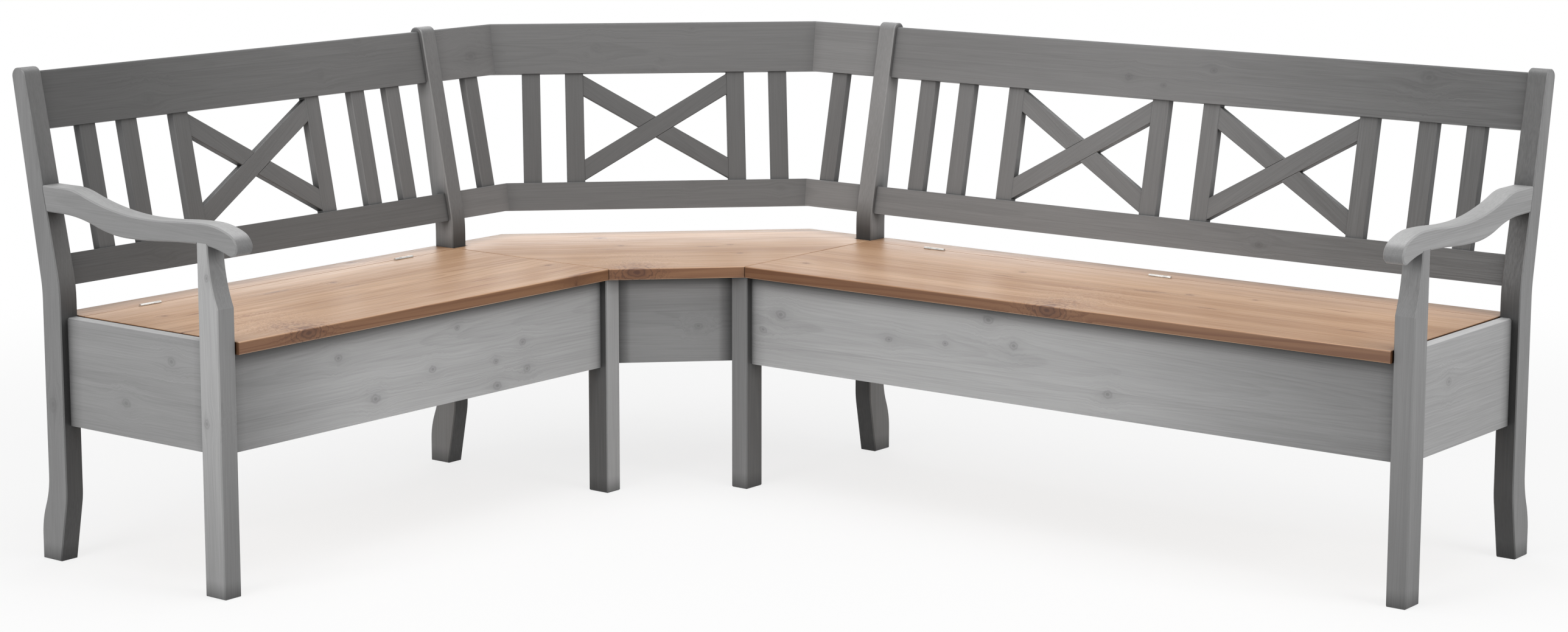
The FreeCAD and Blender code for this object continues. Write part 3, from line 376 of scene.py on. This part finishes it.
def paintLightAndShade(tree, spot, tone, along=None, reach=None, facing=None):
    # Painted light and shade: a tone on the faces that look one way, or on one end of a piece, eased into 1
    # elsewhere
    share = 1.0
    if along is not None:
        far = vectorCalc(tree, "DOT_PRODUCT", spot.outputs["Object"], tuple(along))
        share = ease(tree, far, *reach, 1.0, 0.0)
    if facing is not None:
        towards = vectorCalc(tree, "DOT_PRODUCT", spot.outputs["Normal"], tuple(facing))
        share = calc(tree, "MULTIPLY", share, ease(tree, towards, *woodShape["facingTurn"]))
    return calc(tree, "MULTIPLY_ADD", share, tone - 1.0, 1.0)


def woodMaterial(name, stain, look):
    # look: its pale and deep colours, how it was cut, its knots, and its painted light and shade
    settings = stains[stain]
    material = bpy.data.materials.new(name)
    material.use_nodes = True
    tree = material.node_tree
    shader = tree.nodes["Principled BSDF"]
    along, across = look["along"].normalized(), look["across"].normalized()
    turn = Matrix((along, across, along.cross(across)))
    spot = tree.nodes.new("ShaderNodeTexCoord")
    wood = tree.nodes.new("ShaderNodeMapping")
    feed(tree, wood.inputs["Vector"], spot.outputs["Object"])
    feed(tree, wood.inputs["Rotation"], turn.to_euler())
    vector, dark = wood.outputs[0], 0.0
    for kind, spread, swirl in knotKinds:
        for *centre, radius in look.get(kind, ()):
            values = {"Vector": vector, "Dark": dark, "Centre": turn @ Vector(centre), "Radius": radius}
            values.update({"Spread": spread, "Swirl": swirl})
            vector, dark = place(tree, groups["knot"], values).values()
    cut = {"Vector": wood.outputs[0], "Width": look["stave"], "Seed": look["seed"]}
    staves = place(tree, groups["staves"], cut)
    figure = place(tree, groups["figure"], {
        "Vector": vectorCalc(tree, "ADD", vector, staves["Offset"]),
        "Pith": turn @ Vector(look["middle"]) + pithPlace(look["seed"]),
        "Ring Spacing": woodShape["ringSpacing"],
    })
    depth = calc(tree, "MULTIPLY_ADD", figure["Rings"], settings["rings"], woodShape["middleDepth"])
    unevenness = {"fibre": figure["Fibre"], "drift": figure["Drift"], "staveTone": staves["Tone"]}
    for title, output in unevenness.items():
        centred = calc(tree, "SUBTRACT", output, 0.5)
        depth = calc(tree, "MULTIPLY_ADD", centred, settings[title], depth)
    depth.node.use_clamp = True
    colour = blend(tree, depth, look["pale"], look["deep"])
    streaked = calc(tree, "MULTIPLY", figure["Streak"], settings["streaks"])
    colour = blend(tree, streaked, colour, settings["streak"])
    knotted = calc(tree, "MULTIPLY", dark, look.get("knotDepth", woodShape["knotDepth"]))
    colour = blend(tree, knotted, colour, settings["knot"])
    darken = calc(tree, "SUBTRACT", 1.0, calc(tree, "MULTIPLY", staves["Seam"], settings["seam"]))
    # Painted shade from ambient occlusion in joints, corners and under overhangs
    reach, power = settings["shade"]
    shade = place(tree, groups["shade"], {"Reach": reach, "Power": power})
    darken = calc(tree, "MULTIPLY", darken, shade["Shade"])
    for change in look.get("changes", ()):
        darken = calc(tree, "MULTIPLY", darken, paintLightAndShade(tree, spot, **change))
    scaled = vectorCalc(tree, "SCALE", colour)
    feed(tree, scaled.node.inputs["Scale"], darken)
    # Painted shade: faces that are not level, such as the seat's edges, are tinted darker and warmer
    if "edge" in look:
        rise = vectorCalc(tree, "DOT_PRODUCT", spot.outputs["Normal"], tuple(up))
        level = ease(tree, calc(tree, "ABSOLUTE", rise), *woodShape["levelTurn"])
        tint = blend(tree, level, look["edge"], (1, 1, 1, 1))
        scaled = vectorCalc(tree, "MULTIPLY", scaled, tint)
    feed(tree, shader.inputs["Base Color"], scaled)
    smooth, coarse = settings["roughness"]
    roughness = ease(tree, figure["Fibre"], *woodShape["fibreRange"], smooth, coarse)
    feed(tree, shader.inputs["Roughness"], roughness)
    bump = tree.nodes.new("ShaderNodeBump")
    feed(tree, bump.inputs["Strength"], settings["bump"])
    feed(tree, bump.inputs["Distance"], woodShape["bumpHeight"])
    height = calc(tree, "MULTIPLY_ADD", figure["Rings"], woodShape["ringBump"], figure["Fibre"])
    feed(tree, bump.inputs["Height"], height)
    feed(tree, shader.inputs["Normal"], bump.outputs[0])
    return material


greySpread = {"pale": 1.15, "deep": 0.78}


def grey(level):
    # Pale and deep wood of a neutral grey stain, above and below that level
    return {title: (level * share,) * 3 + (1,) for title, share in greySpread.items()}


def middleOf(name):
    low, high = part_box(name)
    return (Vector(low) + Vector(high)) / 2


def dress(name, stain, look):
    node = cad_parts[name]
    look = {"middle": middleOf(name), "stave": 1.0, "seed": float(len(name)), **look}
    node.material_slots[0].material = woodMaterial(name + "Wood", stain, look)


# Top and lower rails, the darkest of the stained wood
railLooks = {
    "left_top_rail": {
        "tone": 0.105,
        "seed": 3.3,
        "knots": [(-1.067, -0.594, 0.832, 0.012), (-1.081, -0.029, 0.900, 0.009), (-1.068, -0.144, 0.837, 0.008)],
    },
    "left_lower_rail": {"tone": 0.10, "seed": 5.1, "knots": [(-1.005, -0.62, 0.545, 0.008)]},
    "corner_top_rail_left": {"tone": 0.138, "seed": 1.7, "knots": [(-1.069, 0.290, 0.843, 0.014)]},
    "corner_lower_rail_left": {"tone": 0.153, "seed": 2.9},
    "corner_top_rail_diagonal": {
        "tone": 0.112,
        "seed": 7.4,
        "knots": [
            (-0.917, 0.515, 0.853, 0.010), (-0.930, 0.499, 0.845, 0.006), (-0.814, 0.610, 0.826, 0.006),
            (-0.823, 0.596, 0.808, 0.005), (-0.777, 0.666, 0.892, 0.005),
        ],
    },
    "corner_lower_rail_diagonal": {
        "tone": 0.105,
        "seed": 8.8,
        "knots": [(-0.733, 0.616, 0.569, 0.006), (-0.598, 0.747, 0.554, 0.007)],
    },
    "corner_top_rail_right": {"tone": 0.19, "seed": 4.6},
    "corner_lower_rail_right": {"tone": 0.20, "seed": 6.2},
    "right_top_rail": {
        "tone": 0.155,
        "seed": 9.5,
        "knots": [
            (0.210, 0.844, 0.841, 0.008), (0.293, 0.842, 0.829, 0.006), (0.402, 0.849, 0.865, 0.007),
            (0.866, 0.853, 0.882, 0.013),
        ],
    },
    "right_lower_rail": {"tone": 0.165, "seed": 2.2, "knots": [(0.55, 0.788, 0.54, 0.007)]},
}


def sideOf(name):
    if name.startswith("left") or name.endswith("left"):
        return "left"
    return "right" if name.startswith("right") or name.endswith("right") else "diagonal"


for name, look in railLooks.items():
    side = sides[sideOf(name)]
    turned = {"along": side["along"], "across": leanedUp(side), "stave": 0.083}
    # Painted shade towards the outer end of the bench
    if "end" in side:
        turned["changes"] = [shadeTowardsEnd(side, 0.45)]
    dress(name, "grey", {**grey(look["tone"]), **turned, **look})
print("rails dressed")


# Slats, stiles and crossed bars of the back
def outwards(name):
    return sides["left"]["along"] if sideOf(name) == "left" else -sides["right"]["along"]


barNames = {
    "slats": ("left_slats", "right_slats", "corner_slats_diagonal", "corner_slat_left", "corner_slat_right"),
    "stiles": ("left_stiles", "right_stiles", "corner_stiles"),
    "rising": ("left_cross_rising", "right_cross_rising", "corner_cross_rising"),
    "falling": ("left_cross_falling", "right_cross_falling", "corner_cross_falling"),
}
barTones = {"left": 0.115, "diagonal": 0.082, "right": 0.14}
for kind, names in barNames.items():
    for name in names:
        side = sides[sideOf(name)]
        lean = leanedUp(side)
        slope = {"rising": barRise, "falling": -barRise}.get(kind)
        along = lean if slope is None else (side["along"] + lean * slope).normalized()
        look = {"along": along, "across": along.cross(side["forward"] + up * backSlope)}
        # A seed of its own for each kind of bar and each side
        look["seed"] = len(kind) + ord(name[0]) % 7 * 1.3
        # Painted shade towards the outer end, and painted light on the faces that look outwards
        if "end" in side:
            look["changes"] = [shadeTowardsEnd(side, 0.5), {"tone": 1.6, "facing": outwards(name)}]
        dress(name, "grey", {**grey(barTones[sideOf(name)]), **look})
print("back bars dressed")


# Boards of the chests and the corner
# Painted shadow under the seat's overhang, across the top of the boards
seatOverhangShadow = {"tone": 0.22, "along": -up, "reach": (-0.438, -0.408)}
boardLooks = {
    "left_front_board": {
        "tone": 0.37,
        "seed": 1.2,
        "changes": [shadeTowardsEnd(sides["left"], 0.5, -0.45), seatOverhangShadow],
        "knots": [
            (-0.589, -0.578, 0.388, 0.008), (-0.589, -0.332, 0.329, 0.008), (-0.589, -0.082, 0.344, 0.008),
            (-0.589, -0.158, 0.317, 0.006), (-0.589, -0.485, 0.297, 0.010), (-0.589, -0.265, 0.399, 0.006),
            (-0.589, -0.070, 0.290, 0.009), (-0.589, -0.155, 0.269, 0.010),
        ],
    },
    "right_front_board": {
        "tone": 0.37,
        "seed": 4.4,
        "changes": [shadeTowardsEnd(sides["right"], 0.5, -0.3), seatOverhangShadow],
        "knots": [
            (-0.299, 0.364, 0.367, 0.010), (-0.344, 0.364, 0.333, 0.008), (-0.031, 0.364, 0.348, 0.007),
            (0.103, 0.364, 0.356, 0.006), (0.262, 0.364, 0.370, 0.009), (0.473, 0.364, 0.303, 0.009),
            (0.203, 0.364, 0.413, 0.010),
        ],
    },
    # Painted shade: the apron, set back under the seat, has a darker tone
    "corner_apron": {
        "tone": 0.21,
        "seed": 6.1,
        "changes": [seatOverhangShadow],
        "knots": [(-0.49, 0.334, 0.33, 0.007)],
    },
    "left_back_board": {
        "tone": 0.25,
        "seed": 2.6,
        "knots": [(-1.027, -0.5, 0.36, 0.010), (-1.027, 0.02, 0.3, 0.008)],
    },
    "right_back_board": {
        "tone": 0.25,
        "seed": 8.3,
        "knots": [(0.1, 0.802, 0.36, 0.010), (0.75, 0.802, 0.31, 0.008)],
    },
    "corner_back_board_left": {"tone": 0.25, "seed": 3.9},
    "corner_back_board_right": {"tone": 0.25, "seed": 7.7},
    "corner_back_board_diagonal": {"tone": 0.25, "seed": 5.8, "knots": [(-0.8, 0.56, 0.35, 0.009)]},
}
for name, look in boardLooks.items():
    turned = {"along": sides[sideOf(name)]["along"], "across": up, "stave": 0.118, "knotDepth": 0.5}
    dress(name, "grey", {**grey(look["tone"]), **turned, **look})
crosswise = {
    "left_end_panel": {
        "tone": 0.225,
        "seed": 2.4,
        "knots": [(-0.714, -0.866, 0.411, 0.009), (-0.839, -0.866, 0.320, 0.010)],
    },
    "right_end_panel": {"tone": 0.26, "seed": 6.6, "knots": [(1.09, 0.52, 0.38, 0.009)]},
    "corner_partition_left": {"tone": 0.26, "seed": 3.1},
    "corner_partition_right": {"tone": 0.26, "seed": 4.9},
}
for name, look in crosswise.items():
    turned = {"along": sides[sideOf(name)]["forward"], "across": up, "stave": 0.105, "knotDepth": 0.5}
    # Painted light: the faces that look up are lighter
    turned["changes"] = [{"tone": 2.0, "facing": up}]
    dress(name, "grey", {**grey(look["tone"]), **turned, **look})
print("boards dressed")


# Posts and legs: painted shade on the faces that look into the bench, low on those faces and on the faces that look
# along it; the feet are darker too
postReach = {"foot": (0.0, 0.45), "low": (0.47, 0.56)}
postLooks = {
    "left_rear_post": {
        "tone": 0.17,
        "inner": 0.5,
        "low": 0.5,
        "seed": 1.4,
        "knots": [(-1.023, -0.882, 0.296, 0.012)],
    },
    "right_rear_post": {"tone": 0.15, "inner": 0.5, "low": 0.45, "seed": 5.5},
    "corner_rear_post_left": {"tone": 0.25, "inner": 0.5, "low": 0.42, "seed": 3.6},
    "corner_rear_post_right": {"tone": 0.22, "inner": 0.9, "low": 0.2, "seed": 7.1},
    "left_front_post": {
        "tone": 0.32,
        "inner": 0.6,
        "foot": 0.75,
        "seed": 2.5,
        "knots": [(-0.608, -0.882, 0.315, 0.008), (-0.599, -0.882, 0.576, 0.006)],
    },
    "right_front_post": {"tone": 0.17, "inner": 1.0, "foot": 0.8, "seed": 8.6},
    "corner_front_leg_left": {"tone": 0.33, "side": 0.25, "seed": 6.4},
    "corner_front_leg_right": {"tone": 0.2, "side": 0.5, "seed": 4.2},
}
for name, look in postLooks.items():
    side = sides[sideOf(name)]
    forward, end = side["forward"], side["along"]
    # Painted shade on the inner faces, low on them and on the side faces; the feet are darker
    changes = [{"tone": look.get("foot", 1.0), "along": up, "reach": postReach["foot"]}]
    changes.append({"tone": look.get("inner", 1.0), "facing": forward})
    low = {"facing": forward, "along": up, "reach": postReach["low"]}
    changes.append({"tone": look.get("low", 1.0), **low})
    changes.append({"tone": look.get("side", 1.0), "facing": end})
    turned = {"along": up, "across": forward, "knotDepth": 0.5, "changes": changes}
    dress(name, "grey", {**grey(look["tone"]), **turned, **look})
for name, tone, seed in (("left_armrest", 0.19, 2.8), ("right_armrest", 0.225, 6.9)):
    forward = sides[sideOf(name)]["forward"]
    # Painted light on the tops, painted shade on the faces that look forward
    changes = [{"tone": 1.6, "facing": up}, {"tone": 0.72, "facing": forward}]
    turned = {"along": forward, "across": up, "changes": changes}
    dress(name, "grey", {**grey(tone), **turned, "seed": seed})
print("posts and armrests dressed")


# Seat boards and the bare pine inside the chests
seatColours = {"pale": (0.57, 0.365, 0.225, 1), "deep": (0.35, 0.188, 0.097, 1)}
# Painted shade for the seat's edge faces
seatEdgeShade = (0.38, 0.29, 0.22, 1)
seatLooks = {
    "left_lid": {
        "seed": 2.1,
        "knots": [
            (-0.883, -0.302, 0.46, 0.007), (-0.693, 0.110, 0.46, 0.007), (-0.864, -0.747, 0.46, 0.006),
        ],
        "edgeKnots": [(-0.572, -0.671, 0.452, 0.013)],
        "streaks": [
            (-0.892, -0.446, 0.46, 0.006), (-0.829, -0.307, 0.46, 0.004), (-0.714, -0.838, 0.46, 0.005),
            (-0.836, -0.701, 0.46, 0.004), (-0.569, 0.051, 0.46, 0.004),
        ],
    },
    "right_lid": {
        "seed": 5.7,
        "knots": [
            (0.102, 0.631, 0.46, 0.007), (-0.302, 0.451, 0.46, 0.007), (0.499, 0.613, 0.46, 0.007),
            (0.626, 0.641, 0.46, 0.005),
        ],
        "edgeKnots": [(0.351, 0.347, 0.452, 0.013)],
        "streaks": [
            (0.098, 0.573, 0.46, 0.004), (0.408, 0.596, 0.46, 0.005), (0.434, 0.600, 0.46, 0.003),
            (0.598, 0.509, 0.46, 0.004), (0.924, 0.472, 0.46, 0.005),
        ],
    },
    "left_seat_strip": {"seed": 3.5, "knots": [(-1.025, -0.114, 0.46, 0.010)]},
    "right_seat_strip": {"seed": 6.8, "knots": [(-0.031, 0.743, 0.46, 0.011), (0.630, 0.790, 0.46, 0.009)]},
    "corner_seat": {
        "seed": 4.3,
        "knots": [
            (-0.740, 0.387, 0.46, 0.006), (-0.570, 0.540, 0.46, 0.006), (-0.486, 0.468, 0.46, 0.006),
            (-0.840, 0.437, 0.46, 0.012),
        ],
        "edgeKnots": [(-0.527, 0.188, 0.452, 0.012)],
        "streaks": [
            (-0.729, 0.338, 0.46, 0.004), (-0.589, 0.491, 0.46, 0.004), (-0.572, 0.776, 0.46, 0.009),
        ],
    },
}
for name, look in seatLooks.items():
    side = sides[sideOf(name)]
    turned = {"along": side["along"], "across": side["forward"], "stave": 0.104, "edge": seatEdgeShade, "knotDepth": 0.8}
    dress(name, "seat", {**seatColours, **turned, **look})
chestColours = {"pale": (0.66, 0.49, 0.32, 1), "deep": (0.5, 0.32, 0.18, 1)}
for name in ("left_bottom", "right_bottom", "left_bottom_battens", "right_bottom_battens"):
    side = sides[sideOf(name)]
    dress(name, "chest", {**chestColours, "along": side["along"], "across": side["forward"], "stave": 0.09})
print("seat and chests dressed")


# Nickel plated hinges
hingeLook = {
    "colour": (0.74, 0.73, 0.70, 1),
    "dull": (0.5, 0.49, 0.47, 1),
    "roughness": (0.22, 0.42),
    "brush": (60.0, 60.0, 900.0),
    "brushRange": (0.3, 0.7),
    "cloudScale": 90.0,
    "cloudRange": (0.35, 0.75),
}


def nickelMaterial():
    material = bpy.data.materials.new("hingeNickel")
    material.use_nodes = True
    tree = material.node_tree
    shader = tree.nodes["Principled BSDF"]
    spot = tree.nodes.new("ShaderNodeTexCoord")
    brush = vectorCalc(tree, "MULTIPLY", spot.outputs["Object"], hingeLook["brush"])
    brushed = noise(tree, brush, 1.0, 3.0)
    cloud = noise(tree, spot.outputs["Object"], hingeLook["cloudScale"], 3.0)
    clouded = ease(tree, cloud, *hingeLook["cloudRange"])
    feed(tree, shader.inputs["Base Color"], blend(tree, clouded, hingeLook["colour"], hingeLook["dull"]))
    roughness = ease(tree, brushed, *hingeLook["brushRange"], *hingeLook["roughness"])
    feed(tree, shader.inputs["Roughness"], roughness)
    feed(tree, shader.inputs["Metallic"], 1.0)
    return material


nickel = nickelMaterial()
for name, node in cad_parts.items():
    if "hinge" in name:
        node.material_slots[0].material = nickel
print("hinges dressed")


# Studio: pale floor, white world, soft lamps from above, the left, the right and behind
studioSettings = {
    "floorSize": 24,
    "floorDrop": 0.0005,
    "floorColour": (0.8, 0.8, 0.8, 1),
    "shadowShare": 0.22,
    "fadeFrom": 1.6,
    "fadeTo": 3.4,
    "worldStrength": 0.18,
    "lamps": {
        "overhead": {"place": (0.3, -0.3, 4.0), "aim": (-0.3, 0.2, 0.4), "size": 4.0, "power": 133},
        "left": {"place": (-0.6, -4.4, 1.5), "aim": (-0.5, 0, 0.45), "size": 2.2, "power": 95},
        "right": {"place": (4.2, 0.4, 1.5), "aim": (0, 0.1, 0.45), "size": 2.2, "power": 80},
        "back": {"place": (-3.2, 3.4, 2.2), "aim": (-0.2, 0.2, 0.45), "size": 3.0, "power": 40},
    },
}


def seenDirectly(tree):
    # 1 for camera rays, mirrored rays and rays through glass
    path = tree.nodes.new("ShaderNodeLightPath")
    seen = calc(tree, "MAXIMUM", path.outputs["Is Camera Ray"], path.outputs["Is Glossy Ray"])
    return calc(tree, "MAXIMUM", seen, path.outputs["Is Transmission Ray"])


def addWorld():
    world = bpy.data.worlds.new("studioWorld")
    scene.world = world
    world.use_nodes = True
    tree = world.node_tree
    tree.nodes.clear()
    dim = tree.nodes.new("ShaderNodeBackground")
    feed(tree, dim.inputs["Color"], (1, 1, 1, 1))
    feed(tree, dim.inputs["Strength"], studioSettings["worldStrength"])
    white = tree.nodes.new("ShaderNodeBackground")
    feed(tree, white.inputs["Color"], (1, 1, 1, 1))
    mix = tree.nodes.new("ShaderNodeMixShader")
    for socket, value in zip(mix.inputs, (seenDirectly(tree), dim.outputs[0], white.outputs[0])):
        feed(tree, socket, value)
    feed(tree, tree.nodes.new("ShaderNodeOutputWorld").inputs[0], mix.outputs[0])


def addFloor():
    shape = bmesh.new()
    bmesh.ops.create_grid(shape, x_segments=1, y_segments=1, size=studioSettings["floorSize"] / 2)
    mesh = bpy.data.meshes.new("studioFloor")
    shape.to_mesh(mesh)
    shape.free()
    floor = bpy.data.objects.new("studioFloor", mesh)
    floor.location = (0, 0, -studioSettings["floorDrop"])
    scene.collection.objects.link(floor)
    material = bpy.data.materials.new("studioFloor")
    material.use_nodes = True
    mesh.materials.append(material)
    tree = material.node_tree
    shader = tree.nodes["Principled BSDF"]
    feed(tree, shader.inputs["Base Color"], studioSettings["floorColour"])
    feed(tree, shader.inputs["Roughness"], 1.0)
    spot = tree.nodes.new("ShaderNodeTexCoord")
    distance = vectorCalc(tree, "LENGTH", spot.outputs["Object"])
    share = studioSettings["shadowShare"]
    clear = ease(tree, distance, studioSettings["fadeFrom"], studioSettings["fadeTo"], 1 - share, 1.0)
    glow = tree.nodes.new("ShaderNodeEmission")
    mix = tree.nodes.new("ShaderNodeMixShader")
    factor = calc(tree, "MULTIPLY", clear, seenDirectly(tree))
    for socket, value in zip(mix.inputs, (factor, shader.outputs[0], glow.outputs[0])):
        feed(tree, socket, value)
    feed(tree, tree.nodes["Material Output"].inputs[0], mix.outputs[0])


def addLamps():
    for name, lamp in studioSettings["lamps"].items():
        light = bpy.data.lights.new(name + "Lamp", "AREA")
        light.size = lamp["size"]
        light.energy = lamp["power"]
        holder = bpy.data.objects.new(name + "Lamp", light)
        holder.location = lamp["place"]
        aim = Vector(lamp["aim"]) - Vector(lamp["place"])
        holder.rotation_euler = aim.to_track_quat("-Z", "Y").to_euler()
        scene.collection.objects.link(holder)


addWorld()
addFloor()
addLamps()
print("studio ready")
